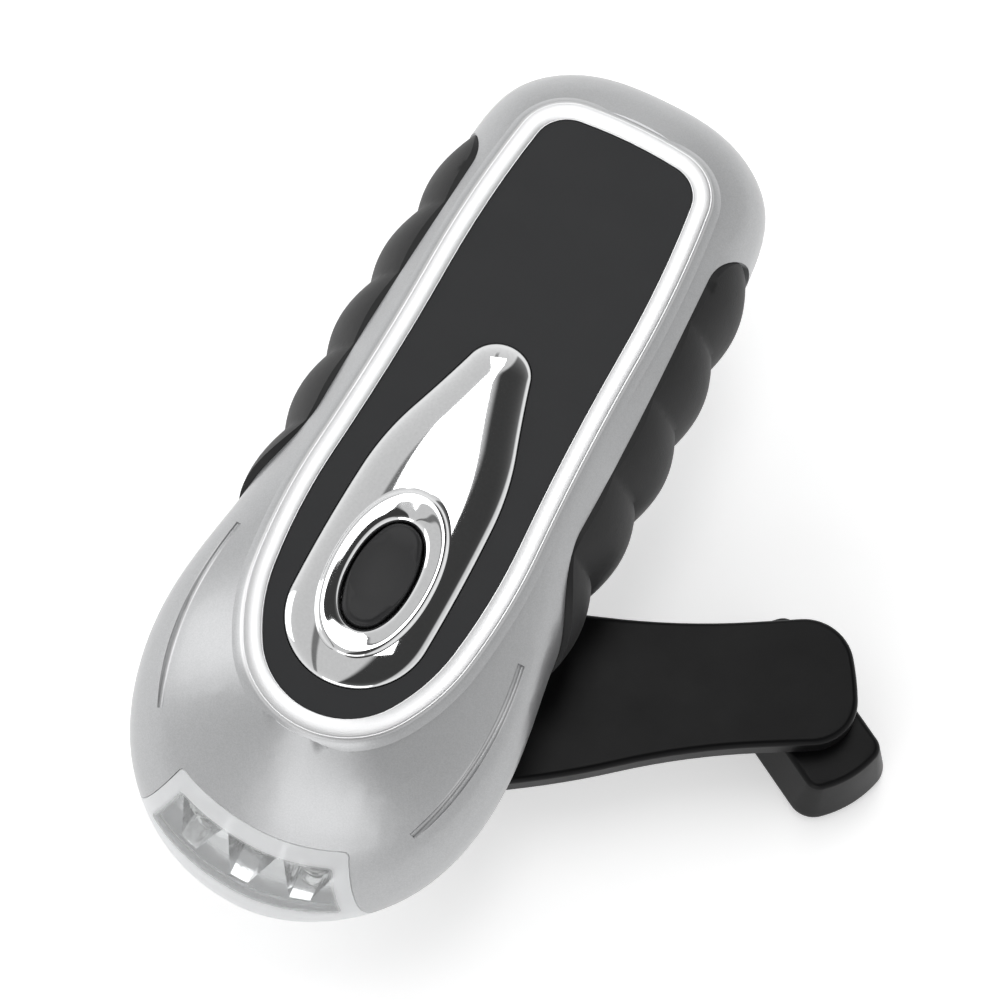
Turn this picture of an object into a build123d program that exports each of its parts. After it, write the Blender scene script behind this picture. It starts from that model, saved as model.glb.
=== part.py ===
from build123d import *
from math import atan2, cos, pi, radians, sin, sqrt, tan
import os

# Hand crank flashlight. Millimetres, +Z up, +Y from the lamp end to the tail, +X to the side
# that the crank is swung out to. Everything is laid out from the lamp's foremost point (Y = 0)
# and the flat underside (Z = 0), then moved so that the origin is the middle of the heel's
# flat foot.

# ---- overall form of the moulded casing ----
LENGTH = 119.9
HEIGHT = 26.0
FRONT_HALF = 24.5
WAIST_HALF = 22.3
REAR_HALF = 20.6
NOSE_DEPTH = 22.0
TAIL_DEPTH = 17.0
CROWN_START = 60.3
CROWN_DROP = 1.7
CROWN_RUN = 40.0
PARTING_Z = 4.0
WALL = 2.0
FLOOR = 2.0
GAP = 0.1
SEAT = 0.05
RUNNING = 0.05
PRESS = 0.02
END_PLAY = 0.2

# ---- top panel, its bright ridge, the bezel and the button ----
PANEL_FRONT = 20.2
PANEL_REAR = 107.3
PANEL_THICK = 1.8
PANEL_SUNK = 0.15
RIDGE_WIDE = 2.5
RIDGE_HIGH = 0.5
DECK = 1.6
BEZEL_FRONT = 24.3
BEZEL_THICK = 1.2
BEZEL_PROUD = 1.0
RING_HALF = 6.75
RING_LONG = 11.6
RING_PROUD = 0.8
RING_Y = 39.4
BUTTON_HALF = 3.85
BUTTON_LONG = 7.35
BUTTON_PROUD = 1.3
BUTTON_TRAVEL = 1.2
BUTTON_GAP = 0.25
BUTTON_FLANGE = 1.0

# ---- grooves on the cheeks ----
CHEEK_FRONT = (17.85, 14.4, 15.4)
CHEEK_MIDDLE = (20.7, 27.2, 18.65)
CHEEK_REAR = (19.95, 39.0, 20.7)
CHEEK_R = 0.6

# ---- lens and lamps ----
LENS_TOP = 14.4
LENS_TOP_HALF = 11.7
LENS_FLARE = 0.45
LENS_BOTTOM = 2.3
LENS_INNER = 1.4
LENS_LIP = 1.2
LENS_SKIRT = 0.8
LENS_BASE_Y = 2.6
REFLECTOR_BACK = 11.0
REFLECTOR_LOW = 4.05
REFLECTOR_HIGH = 13.2
LAMP_PITCH = 7.6
LAMP_Z = 8.4
LED_R = 2.5
LED_Y = 9.2
LED_BOARD_Y = 11.9
LED_BOARD_THICK = 1.2

# ---- rubber grips ----
GRIP_THICK = 3.0
GRIP_BACKING = 1.5
GRIP_FRONT = 43.0
GRIP_REAR = 103.4
GRIP_TOP = 22.2
LOBES = 5
LOBE_FIRST = 43.2
LOBE_PITCH = 11.75
LOBE_SWELL = 1.3

# ---- crank ----
CRANK_Y = 31.5
CRANK_TURN = 31.3
ARM_LONG = 66.0
ARM_THICK = 3.5
ARM_DROP = 1.0
HUB_HALF = 12.3
ARM_HALF = 8.6
SHAFT_R = 3.0
BUSH_R = 4.6
BUSH_FLANGE_R = 6.6
BUSH_FLANGE = 0.7
SQUARE = 4.4
KNOB_REACH = 57.6
KNOB_LONG = 23.6
KNOB_HALF = 5.5
KNOB_AHEAD = 2.0
KNOB_ASIDE = 0.5
KNOB_BOW = 14.0
KNOB_CORNER = 2.0
KNOB_FLARE = 11.0
KNOB_HIGH = 9.0
KNOB_ROUND = 1.4
KNOB_EDGE = 0.8
KNOB_TURN = -30.0
KNOB_PIN_R = 2.5
KNOB_SUNK = 1.8
WASHER_R = 6.2
WASHER_THICK = 0.5

# ---- gear train: module and teeth of each meshing pair, and the layers they lie in ----
PAIR_1 = (0.8, 40, 10)
PAIR_2 = (0.7, 30, 10)
PAIR_3 = (0.6, 24, 10)
GEAR_1_Z = (3.4, 5.8)
GEAR_2_Z = (6.6, 8.4)
GEAR_3_Z = (9.4, 11.0)
PINION_OVER = 0.4
TOOTH_ADDENDUM = 0.9
TOOTH_DEDENDUM = 1.15
TIP_SHARE = 0.20
ROOT_SHARE = 0.62
AXLE_BOSS_R = 2.2
AXLE_R = 1.0
PLATE_Z = (12.0, 13.4)
PLATE_HALF = 16.0
PILLAR_X = 13.5
PILLAR_R = 2.4
PLATE_SCREW_R = 0.8

# ---- generator, battery and boards ----
MAGNET_R = 7.0
MAGNET_Z = (14.6, 20.6)
POLE_GAP = 0.5
YOKE_THICK = 2.4
YOKE_Z = (15.4, 19.4)
YOKE_BACK = 91.5
YOKE_REST = 9.0
COIL_LONG = 12.0
COIL_R = 3.7
CELL_R = 7.75
CELL_LONG = 5.6
CELLS = 3
BATTERY_FRONT = 96.6
BATTERY_Z = 12.3
BOARD_Z = (14.9, 16.3)
BOARD_FRONT = 26.0
BOARD_REAR = 57.0
BOARD_HALF = 12.5

# ---- screws and heel ----
SCREW_FRONT = (13.6, 17.4)
SCREW_REAR = (13.4, 99.2)
SCREW_R = 1.1
SCREW_HEAD_R = 2.1
SCREW_HEAD = 1.6
SCREW_LONG = 9.0
SCREW_END = 0.6
SCREW_DRIVE = (0.5, 0.8)
BOSS_TOP_FRONT = 16.6
BOSS_TOP_REAR = 22.8
BOSS_R = 2.5
HEEL_FRONT = 104.6
HEEL_DROP = 4.2
HEEL_REAR = 114.2
HEEL_HALF = 13.6
FOOT_Y = 109.6

# Form of the casing at rising heights: share of HEIGHT, then how far the nose, front, waist,
# rear and tail draw in from the widest outline.
LEVELS = [
    (0.000, 2.3, 4.9, 4.5, 4.4, 4.4),
    (0.154, 0.0, 1.6, 1.7, 1.6, 1.5),
    (0.308, 1.5, 0.3, 0.5, 0.5, 0.5),
    (0.462, 4.4, 0.0, 0.0, 0.0, 0.1),
    (0.615, 8.2, 1.0, 0.4, 0.2, 0.4),
    (0.769, 12.6, 4.1, 2.3, 1.8, 2.1),
    (0.885, 16.3, 7.6, 4.6, 4.4, 5.4),
    (0.981, 19.3, 10.6, 6.8, 7.2, 9.1),
    (1.077, 21.8, 13.5, 8.9, 9.9, 12.5),
]
TAIL_POWER = 2.5
TAIL_LEAN = 1.6
TAIL_ROOF = 22.4
TAIL_SLOPE = 4.5
WAIST_Y = 66.0
MID_SHARE = 0.42
MID_BLEND = 0.12
QUARTER_STEPS = 3
NOSE_LEAN = 0.75
NOSE_LEAN_Y = -3.9
NOSE_ARC = 24.0
ROOF_LEAN = 1.2
ROOF_LEAN_Y = -8.0
FAR = 200.0


# ---- small helpers ----
def rod(x, y, low, high, radius):
    """An upright round rod between two heights."""
    return Pos(x, y, (low + high) / 2) * Cylinder(radius, high - low)


def block(x0, x1, y0, y1, z0, z1):
    """A box given by its faces."""
    return Pos((x0 + x1) / 2, (y0 + y1) / 2, (z0 + z1) / 2) * Box(x1 - x0, y1 - y0, z1 - z0)


def chain(points, heading=0.0, grow=0.0):
    """Outline symmetrical about the Y axis: arcs, each tangent to the last, run through the
    points from the front end on the axis. The outline closes across the axis, and grow
    moves every arc outwards by the same amount."""
    headings = [heading]
    for a, b in zip(points, points[1:]):
        chord = atan2(b[1] - a[1], b[0] - a[0])
        headings.append(2 * chord - headings[-1])
    moved = [
        (x + grow * sin(h), y - grow * cos(h)) for (x, y), h in zip(points, headings)
    ]
    side = [
        TangentArc(p, q, tangent=(cos(h), sin(h)))
        for p, q, h in zip(moved, moved[1:], headings)
    ]
    edges = [arc.edge() for arc in side]
    edges += [mirror(arc, Plane.YZ).edge() for arc in side]
    x, y = moved[-1]
    if x > 0.01:
        rise = x * tan((pi - headings[-1]) / 2)
        edges.append(ThreePointArc((x, y), (0, y + rise), (-x, y)).edge())
    return make_face(edges)


def on_axis(x, y, heading):
    """The point where an arc that leaves (x, y) at this heading meets the axis squarely."""
    return (0.0, y + x * tan(pi - (heading + pi) / 2))


def last_heading(points, heading=0.0):
    """Heading at the end of a chain of tangent arcs."""
    for a, b in zip(points, points[1:]):
        heading = 2 * atan2(b[1] - a[1], b[0] - a[0]) - heading
    return heading


def oval(half_wide, half_long, end_radius, grow=0.0):
    """Oval of two end arcs and two side arcs that meet tangentially, centred on nothing."""
    reach = half_long - end_radius
    side_radius = (reach**2 + half_wide**2 - end_radius**2) / (2 * (half_wide - end_radius))
    share = (side_radius - half_wide) / (side_radius - end_radius)
    turn = reach / (side_radius - end_radius)
    joint = (end_radius * share, -reach - end_radius * turn)
    points = [(0, -half_long), joint, (joint[0], -joint[1]), (0, half_long)]
    return chain(points, grow=grow)


def crown(drop):
    """Everything below the casing's crowned top, lowered by drop. The crown is level from
    the tail to CROWN_START and then falls towards the lamp in one arc."""
    top = HEIGHT - drop
    radius = (CROWN_RUN**2 + CROWN_DROP**2) / (2 * CROWN_DROP)
    nose_fall = radius - sqrt(radius**2 - CROWN_START**2)
    start = (CROWN_START, top)
    half = CROWN_START / 2
    middle = (half, top - radius + sqrt(radius**2 - half**2))
    end = (0, top - nose_fall)
    arc = ThreePointArc(start, middle, end)
    rest = Polyline(end, (-FAR, top - nose_fall), (-FAR, -FAR), (FAR, -FAR), (FAR, top), start)
    profile = Plane.YZ * make_face(arc.edges() + rest.edges())
    return extrude(profile, FAR, both=True)


def crown_height(y, drop=0.0):
    """Height of the lowered crown at a place along the casing."""
    radius = (CROWN_RUN**2 + CROWN_DROP**2) / (2 * CROWN_DROP)
    ahead = max(0.0, CROWN_START - y)
    return HEIGHT - drop - radius + sqrt(radius**2 - ahead**2)


def layer(face, top_drop, bottom_drop):
    """A plate of the given outline that follows the crown between two depths."""
    return (extrude(face, 2 * HEIGHT) & crown(top_drop)) - crown(bottom_drop)


# ---- casing form ----
def level_outline(level, inset):
    share, nose_in, front_in, waist_in, rear_in, tail_in = level
    nose = nose_in + inset
    front = FRONT_HALF - front_in - inset
    waist = WAIST_HALF - waist_in - inset
    rear = REAR_HALF - rear_in - inset
    tail = LENGTH - tail_in - inset
    points = []
    for k in range(QUARTER_STEPS + 1):
        a = k * pi / 2 / QUARTER_STEPS
        points.append((front * sin(a), nose + NOSE_DEPTH * (1 - cos(a))))
    front_y = nose + NOSE_DEPTH
    mid_y = front_y + MID_SHARE * (WAIST_Y - front_y)
    points.append((waist + MID_BLEND * (front - waist), mid_y))
    points.append((waist, WAIST_Y))
    for k in range(QUARTER_STEPS + 1):
        a = k * pi / 2 / QUARTER_STEPS
        x = rear * max(0.0, cos(a)) ** (2 / TAIL_POWER)
        points.append((x, tail - TAIL_DEPTH + TAIL_DEPTH * sin(a) ** (2 / TAIL_POWER)))
    points[-1] = (0.0, tail)
    loop = points + [(-x, y) for x, y in reversed(points[1:-1])]
    z = share * HEIGHT
    return Face(Wire([Spline([(x, y, z) for x, y in loop], periodic=True).edge()]))


def form(inset=0.0):
    """The casing's outer form drawn in all round by inset, before the crown is cut."""
    return loft([level_outline(level, inset) for level in LEVELS])


FORM = form()


def half_width(y, z):
    """Half width of the casing's form at one place."""
    hit = Edge.make_line((0, y, z), (2 * FRONT_HALF, y, z)).intersect(FORM)
    return max(v.X for e in hit for v in e.vertices())


def side_profile(inset, reach):
    """Both side walls' inner faces, drawn in from the waist of the form and run along Y."""
    side = [((WAIST_HALF - lv[3] - inset), lv[0] * HEIGHT) for lv in LEVELS]
    curve = Spline(side)
    other = mirror(curve, Plane.YZ)
    top = Line(side[-1], (-side[-1][0], side[-1][1]))
    base = Line(side[0], (-side[0][0], side[0][1]))
    face = make_face(curve.edges() + other.edges() + top.edges() + base.edges())
    return Pos(0, reach, 0) * extrude(Plane.XZ * face, reach)


def nose_block(front, back, lean=NOSE_LEAN):
    """Everything behind a bowed wall that leans back with the nose."""
    rise = NOSE_ARC - sqrt(NOSE_ARC**2 - WAIST_HALF**2)
    arc = ThreePointArc((-WAIST_HALF, front + rise), (0, front), (WAIST_HALF, front + rise))
    rest = Polyline(arc @ 1, (WAIST_HALF, back), (-WAIST_HALF, back), arc @ 0)
    face = make_face(arc.edges() + rest.edges())
    return extrude(face, HEIGHT * sqrt(1 + lean**2), dir=(0, lean, 1))


def behind_nose(inset, back=LENGTH):
    """Everything behind the nose wall, drawn in from it by inset."""
    return nose_block(NOSE_LEAN_Y + inset, back)


# ---- outlines seen from above ----
def panel_outline(grow=0.0):
    side = [
        (0, PANEL_FRONT),
        (8.9, PANEL_FRONT + 4.9),
        (12.4, PANEL_FRONT + 14.4),
        (13.05, PANEL_FRONT + 31),
        (12.3, PANEL_REAR - 27),
        (10.95, PANEL_REAR - 4.4),
        (6.9, PANEL_REAR - 0.4),
    ]
    return chain(side, grow=grow)


def bezel_outline(grow=0.0):
    side = [
        (0, BEZEL_FRONT),
        (9.3, BEZEL_FRONT + 9.0),
        (9.15, BEZEL_FRONT + 27.0),
        (7.2, BEZEL_FRONT + 37.3),
        (4.2, BEZEL_FRONT + 47.0),
    ]
    side.append(on_axis(*side[-1], last_heading(side)))
    return chain(side, grow=grow)


def ring_outline(grow=0.0):
    return Pos(0, RING_Y) * oval(RING_HALF, RING_LONG, 4.8, grow)


def button_outline(grow=0.0):
    return Pos(0, RING_Y) * oval(BUTTON_HALF, BUTTON_LONG, 2.9, grow)


# ---- lens opening, cut along Y ----
def lens_window(grow=0.0):
    """Prism of the lamp opening: narrow at the top, flaring to the bottom edge."""
    low = LENS_BOTTOM - grow
    high = LENS_TOP + grow
    low_half = LENS_TOP_HALF + LENS_FLARE * (LENS_TOP - LENS_BOTTOM) + grow
    high_half = LENS_TOP_HALF + grow
    outline = Polyline(
        (-low_half, low), (low_half, low), (high_half, high), (-high_half, high), close=True
    )
    face = make_face(outline.edges())
    face = fillet(face.vertices().sort_by(Axis.Y)[-2:], 1.0)
    return Pos(0, NOSE_DEPTH, 0) * extrude(Plane.XZ * face, 2 * NOSE_DEPTH)


# ---- grip opening, cut along X ----
def grip_zone(side, grow=0.0):
    """Prism of one grip's outline in side view: a swept front, a straight top edge and a
    rounded rear end."""
    low = PARTING_Z + GAP if grow < 0 else PARTING_Z - 1
    top = GRIP_TOP + grow
    front = GRIP_FRONT - grow
    rear = GRIP_REAR + grow
    sweep = Spline(
        (front, low),
        (front + 2.2, 0.62 * top),
        (front + 14.5, top),
        tangents=[(0, 1), (1, 0.08)],
        tangent_scalars=[1.0, 1.0],
    )
    rest = FilletPolyline(
        (front + 14.5, top), (rear - 0.5, top), (rear + 0.2, low), radius=6.5
    )
    base = Line((rear + 0.2, low), (front, low))
    face = Plane.YZ * make_face(sweep.edges() + rest.edges() + base.edges())
    return extrude(face, side * 2 * FRONT_HALF)


def lobe_section(y, swell):
    """Upright section of the grip, bulging over the casing's form by up to swell."""
    low = PARTING_Z - 1.0
    high = GRIP_TOP + 1.0
    outer = []
    for k in range(5):
        z = low + k * (high - low) / 4
        outer.append((half_width(y, z) + swell * sin(pi * (k + 0.4) / 4.8), y, z))
    back = FRONT_HALF / 3
    curve = Spline(outer)
    rest = Polyline(outer[-1], (back, y, high), (back, y, low), outer[0])
    return make_face(curve.edges() + rest.edges())


def grip_blank():
    """Five swellings in a row, each a loft from valley to crest to valley."""
    valleys = [lobe_section(LOBE_FIRST + k * LOBE_PITCH, 0.0) for k in range(LOBES + 1)]
    crests = [lobe_section(LOBE_FIRST + (k + 0.5) * LOBE_PITCH, LOBE_SWELL) for k in range(LOBES)]
    blank = loft([valleys[0], crests[0], valleys[1]])
    for k in range(1, LOBES):
        blank += loft([valleys[k], crests[k], valleys[k + 1]])
    return blank


# ---- casing pieces ----
def cavity():
    """The hollow inside both shells: walls behind the grips, a leaning nose, a round tail,
    a floor that is solid under the lamps, the deck and a round recess for the crank gear."""
    behind_grips = side_profile(GRIP_THICK + GRIP_BACKING, LENGTH)
    room = behind_grips & behind_nose(WALL + 0.2)
    room &= block(-FAR, FAR, -FAR, LENGTH - TAIL_DEPTH, -FAR, FAR)
    tail_half = REAR_HALF - WALL - 1.0
    tail_back = LENGTH - WALL - TAIL_LEAN
    tail = block(-tail_half, tail_half, LENGTH - 2 * TAIL_DEPTH, tail_back, 0, TAIL_ROOF)
    tail = fillet(tail.edges().filter_by(Axis.Z).sort_by(Axis.Y)[-2:], TAIL_DEPTH - 3)
    tail = chamfer(tail.faces().sort_by(Axis.Z)[-1].edges().filter_by(Axis.Y, reverse=True), TAIL_SLOPE)
    room += tail & behind_grips
    module, teeth, _ = PAIR_1
    room += rod(0, CRANK_Y, 0, GEAR_1_Z[1] + 1.5, module * (teeth / 2 + 1) + 0.9)
    room &= nose_block(ROOF_LEAN_Y, LENGTH, ROOF_LEAN)
    room &= crown(PANEL_SUNK + PANEL_THICK + SEAT + DECK)
    room -= block(-FAR, FAR, -FAR, FAR, -FAR, FLOOR)
    room -= block(-FAR, FAR, -FAR, REFLECTOR_BACK - 1, -FAR, PARTING_Z)
    return room


def grip_pockets():
    """What the grips are let into, on both sides."""
    core = side_profile(GRIP_THICK, LENGTH)
    return [grip_zone(side) - core for side in (1, -1)]


def screw_places():
    fx, fy = SCREW_FRONT
    rx, ry = SCREW_REAR
    return [(fx, fy), (-fx, fy), (rx, ry), (-rx, ry)]


def cheek_grooves():
    """Two bowed grooves low on the cheeks: a thin ring whose middle stretch runs just inside
    the surface, so that each groove fades out at both ends."""
    x0, y0, z0 = CHEEK_FRONT
    x1, y1, z1 = CHEEK_REAR
    x2, y2, z2 = CHEEK_MIDDLE
    path = ThreePointArc((x0, y0, z0), (x2, y2, z2), (x1, y1, z1))
    groove = sweep(Plane(path @ 0, z_dir=path % 0) * Circle(CHEEK_R), path)
    return [groove, mirror(groove, Plane.YZ)]


def make_top_shell(room):
    shell = FORM & crown(RIDGE_HIGH)
    ridge = layer(panel_outline(RIDGE_WIDE), 0.0, RIDGE_HIGH + 0.6)
    shell += ridge
    shell -= block(-FAR, FAR, -FAR, FAR, -FAR, PARTING_Z)
    pocket = PANEL_SUNK + PANEL_THICK + SEAT
    shell -= extrude(panel_outline(GAP), 2 * HEIGHT) - crown(pocket)
    shell -= room
    shell -= lens_opening()
    for pocket_side in grip_pockets() + cheek_grooves():
        shell -= pocket_side
    shell -= extrude(button_outline(BUTTON_GAP), 2 * HEIGHT)
    for x, y in screw_places():
        top = BOSS_TOP_FRONT if y < CRANK_Y else BOSS_TOP_REAR
        shell += rod(x, y, PARTING_Z, top, BOSS_R)
        shell -= rod(x, y, 0, SCREW_HEAD + SCREW_LONG + SCREW_END, SCREW_R + RUNNING)
    return shell


def heel():
    """Raised flat at the tail, behind the crank's sweep, that the torch rests on."""
    pad = block(-HEEL_HALF, HEEL_HALF, HEEL_FRONT, HEEL_REAR, -HEEL_DROP, 0.5)
    pad = fillet(pad.edges().filter_by(Axis.Z).sort_by(Axis.Y)[-2:], 7)
    pad = fillet(pad.edges().filter_by(Axis.Z).sort_by(Axis.Y)[:2], 2)
    return chamfer(pad.faces().sort_by(Axis.Z)[0].edges(), 0.6)


def axle_places():
    """Places along Y of the crank, both compound gears and the rotor."""
    places = [CRANK_Y]
    for module, wheel, pinion in (PAIR_1, PAIR_2, PAIR_3):
        places.append(places[-1] + module * (wheel + pinion) / 2)
    return places


def pillar_places():
    front_y = axle_places()[1] - 3.5
    rear_y = YOKE_BACK - 2
    return [(PILLAR_X, front_y), (-PILLAR_X, front_y), (PILLAR_X, rear_y), (-PILLAR_X, rear_y)]


def make_bottom_shell(room):
    shell = FORM & block(-FAR, FAR, -FAR, FAR, 0, PARTING_Z)
    shell += heel()
    shell -= room
    shell -= lens_opening()
    shell -= rod(0, CRANK_Y, -1, FLOOR + 1, BUSH_R)
    for y, first in zip(axle_places()[1:], (GEAR_1_Z[0], GEAR_2_Z[0], GEAR_3_Z[0])):
        top = first - PINION_OVER - END_PLAY
        shell += rod(0, y, FLOOR / 2, top, AXLE_BOSS_R)
        shell -= rod(0, y, FLOOR / 2, top, AXLE_R + RUNNING)
    for x, y in pillar_places():
        shell += rod(x, y, FLOOR / 2, PLATE_Z[0], PILLAR_R)
        shell -= rod(x, y, FLOOR + 2, PLATE_Z[0] + 1, PLATE_SCREW_R + RUNNING)
    for x, y in screw_places():
        shell += rod(x, y, FLOOR / 2, PARTING_Z, BOSS_R)
        shell -= rod(x, y, -1, PARTING_Z + 1, SCREW_R + GAP)
        shell -= rod(x, y, -1, SCREW_HEAD, SCREW_HEAD_R + END_PLAY)
    for y in (BATTERY_FRONT + 3, BATTERY_FRONT + CELLS * CELL_LONG - 3):
        rib = block(-8, 8, y - 0.8, y + 0.8, FLOOR / 2, BATTERY_Z - 3)
        rib -= Pos(0, y, BATTERY_Z) * Rot(90, 0, 0) * Cylinder(CELL_R + SEAT, 4)
        shell += rib
    return shell


def make_grips():
    core = side_profile(GRIP_THICK - GAP, LENGTH)
    right = grip_blank() & grip_zone(1, -GAP)
    right -= core
    return right, mirror(right, Plane.YZ)


def make_panel():
    plate = layer(panel_outline(), PANEL_SUNK, PANEL_SUNK + PANEL_THICK)
    plate -= extrude(bezel_outline(GAP), 2 * HEIGHT) - crown(PANEL_SUNK + BEZEL_THICK)
    plate -= extrude(button_outline(BUTTON_GAP), 2 * HEIGHT)
    return plate


def make_bezel():
    low = PANEL_SUNK + BEZEL_THICK - SEAT
    plate = layer(bezel_outline(), PANEL_SUNK - BEZEL_PROUD, low)
    top = plate.faces().filter_by(lambda f: f.normal_at().Z > 0.9)
    plate = fillet(top.edges(), 0.7)
    ring = layer(ring_outline(), PANEL_SUNK - BEZEL_PROUD - RING_PROUD, low)
    ring = fillet(ring.faces().filter_by(lambda f: f.normal_at().Z > 0.9).edges(), 0.7)
    plate += ring
    plate -= extrude(button_outline(BUTTON_GAP), 2 * HEIGHT)
    return plate


def deck_under_button():
    """Height of the deck's underside at the front of the button's flange."""
    return crown_height(RING_Y - BUTTON_LONG - 2, PANEL_SUNK + PANEL_THICK + SEAT + DECK)


def make_button():
    top = HEIGHT - CROWN_DROP / 3 + BUTTON_PROUD
    base = deck_under_button()
    cap = extrude(Pos(0, 0, base - BUTTON_FLANGE) * button_outline(), top - base + BUTTON_FLANGE)
    cap = fillet(cap.faces().sort_by(Axis.Z)[-1].edges(), 0.8)
    dish = 30.0
    cap -= Pos(0, RING_Y, top + dish - 0.45) * Sphere(dish)
    flange = extrude(Pos(0, 0, base - GAP - BUTTON_FLANGE) * button_outline(1.2), BUTTON_FLANGE)
    return cap + flange


def lens_opening():
    """What both shells leave out in front of the lamps."""
    upper = lens_window() - behind_nose(WALL + 0.2 + GAP)
    upper -= block(-FAR, FAR, -FAR, FAR, -FAR, PARTING_Z)
    lower = lens_window() - nose_block(LENS_BASE_Y + GAP, LENGTH, 0)
    lower &= block(-FAR, FAR, -FAR, FAR, 0, PARTING_Z)
    return upper + lower


def make_lens():
    """Clear window round the nose: a thick foot, a skirt inside the opening and a flange
    that hooks behind the casing's wall."""
    below = block(-FAR, FAR, -FAR, FAR, -FAR, PARTING_Z + SEAT)
    window = FORM & lens_window(-GAP)
    foot = (window & below) - nose_block(LENS_BASE_Y, LENGTH, 0)
    pane = (window - below) - behind_nose(LENS_INNER)
    back = behind_nose(WALL + GAP + LENS_LIP)
    skirt = behind_nose(LENS_INNER - 0.3) & lens_window(-GAP)
    skirt -= lens_window(-GAP - LENS_SKIRT)
    flange = behind_nose(WALL + 0.2 + GAP) & lens_window(1.0)
    flange -= lens_window(-GAP - LENS_SKIRT)
    rim = skirt + flange - back - below
    rim &= side_profile(GRIP_THICK + GRIP_BACKING + GAP, LENGTH)
    rim &= nose_block(ROOF_LEAN_Y + GAP, LENGTH, ROOF_LEAN)
    return foot + pane + rim


def lamp_places():
    return [("left", -LAMP_PITCH), ("center", 0.0), ("right", LAMP_PITCH)]


def make_reflector():
    """Three mirrored cells, side by side, each a pyramid from its mouth to its LED."""
    body = behind_nose(WALL + GAP + LENS_LIP + END_PLAY, REFLECTOR_BACK)
    half = 1.5 * LAMP_PITCH + 1.2
    body &= block(-half, half, -5, REFLECTOR_BACK, REFLECTOR_LOW, REFLECTOR_HIGH)
    for _, x in lamp_places():
        mouth_wide = LAMP_PITCH - 0.5
        mouth_high = REFLECTOR_HIGH - REFLECTOR_LOW - 1.0
        throat = 2 * LED_R + 0.4
        mouth_z = (REFLECTOR_HIGH + REFLECTOR_LOW) / 2
        mouth = Plane.XZ * Pos(x, mouth_z) * Rectangle(mouth_wide, mouth_high)
        inner = Plane.XZ.offset(-REFLECTOR_BACK) * Pos(x, LAMP_Z) * Rectangle(throat, throat)
        body -= loft([mouth, inner], ruled=True)
    return body


def make_led(x):
    dome = Pos(x, LED_Y, LAMP_Z) * Sphere(LED_R)
    base = LED_BOARD_Y - SEAT
    barrel = Pos(x, (LED_Y + base) / 2, LAMP_Z) * Rot(90, 0, 0) * Cylinder(LED_R, base - LED_Y)
    return dome + barrel


# ---- gears ----
def gear(module, teeth, low, high, phase, bore):
    """Spur gear with straight tooth flanks and running backlash. phase is the angle of the
    middle of one tooth, in degrees."""
    pitch_r = module * teeth / 2
    tip = pitch_r + TOOTH_ADDENDUM * module
    root = pitch_r - TOOTH_DEDENDUM * module
    half_tip = TIP_SHARE * pi * module / tip / 2
    half_root = ROOT_SHARE * pi * module / root / 2
    points = []
    for k in range(teeth):
        middle = radians(phase) + 2 * pi * k / teeth
        for radius, turn in ((root, -half_root), (tip, -half_tip), (tip, half_tip), (root, half_root)):
            points.append((radius * cos(middle + turn), radius * sin(middle + turn)))
    face = make_face(Polyline(*points, close=True).edges())
    body = extrude(Pos(0, 0, low) * face, high - low)
    return body - rod(0, 0, low - 1, high + 1, bore)


def make_compound(wheel_pair, pinion_pair, wheel_z, pinion_z, y, bore):
    """Pinion of one pair below the wheel of the next, moulded as one."""
    module_p, _, pinion_teeth = pinion_pair
    pinion_phase = -90 + 180 / pinion_teeth
    body = gear(module_p, pinion_teeth, pinion_z[0] - PINION_OVER, wheel_z[0], pinion_phase, bore)
    module_w, wheel_teeth, _ = wheel_pair
    body += gear(module_w, wheel_teeth, wheel_z[0], wheel_z[1], 90, bore)
    body += rod(0, 0, wheel_z[1], PLATE_Z[0] - END_PLAY, AXLE_BOSS_R) - rod(0, 0, 0, HEIGHT, bore)
    return Pos(0, y, 0) * body


def make_rotor(y):
    """Rotor shaft with its pinion, and the ring magnet pressed on above the plate."""
    phase = -90 + 180 / PAIR_3[2]
    low = GEAR_3_Z[0] - PINION_OVER
    pinion = gear(PAIR_3[0], PAIR_3[2], low, GEAR_3_Z[1] + 0.6, phase, AXLE_R + PRESS)
    shaft = rod(0, 0, FLOOR / 2 + SEAT, MAGNET_Z[1] + 0.6, AXLE_R)
    core = AXLE_R + 1.2
    magnet = rod(0, 0, *MAGNET_Z, MAGNET_R) - rod(0, 0, 0, HEIGHT, core + PRESS)
    hub = rod(0, 0, MAGNET_Z[0] - 0.6, MAGNET_Z[1], core) - rod(0, 0, 0, HEIGHT, AXLE_R + PRESS)
    return {
        "rotor_pinion": Pos(0, y, 0) * pinion,
        "rotor_shaft": Pos(0, y, 0) * shaft,
        "rotor_magnet": Pos(0, y, 0) * magnet,
        "rotor_hub": Pos(0, y, 0) * hub,
    }


def make_gear_plate():
    """Upper plate that holds the tops of the axles, on four pillars of the bottom shell."""
    crank_y, second_y, third_y, rotor_y = axle_places()
    front = crank_y - SHAFT_R - 3
    back = YOKE_BACK + 1
    plate = block(-PLATE_HALF, PLATE_HALF, front, back, *PLATE_Z)
    plate = fillet(plate.edges().filter_by(Axis.Z), 3)
    plate -= rod(0, crank_y, 0, HEIGHT, SHAFT_R + RUNNING)
    for y in (second_y, third_y, rotor_y):
        plate -= rod(0, y, 0, HEIGHT, AXLE_R + RUNNING)
    for x, y in pillar_places():
        plate -= rod(x, y, 0, HEIGHT, PLATE_SCREW_R + GAP)
    half = MAGNET_R + POLE_GAP + YOKE_THICK
    for side in (-1, 1):
        y = YOKE_BACK - YOKE_REST
        x = side * (half - YOKE_THICK / 2)
        near, far = x - YOKE_THICK / 2, x + YOKE_THICK / 2
        plate += block(near, far, y - 2, y + 2, PLATE_Z[1] - 0.2, YOKE_Z[0])
    return plate


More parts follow.
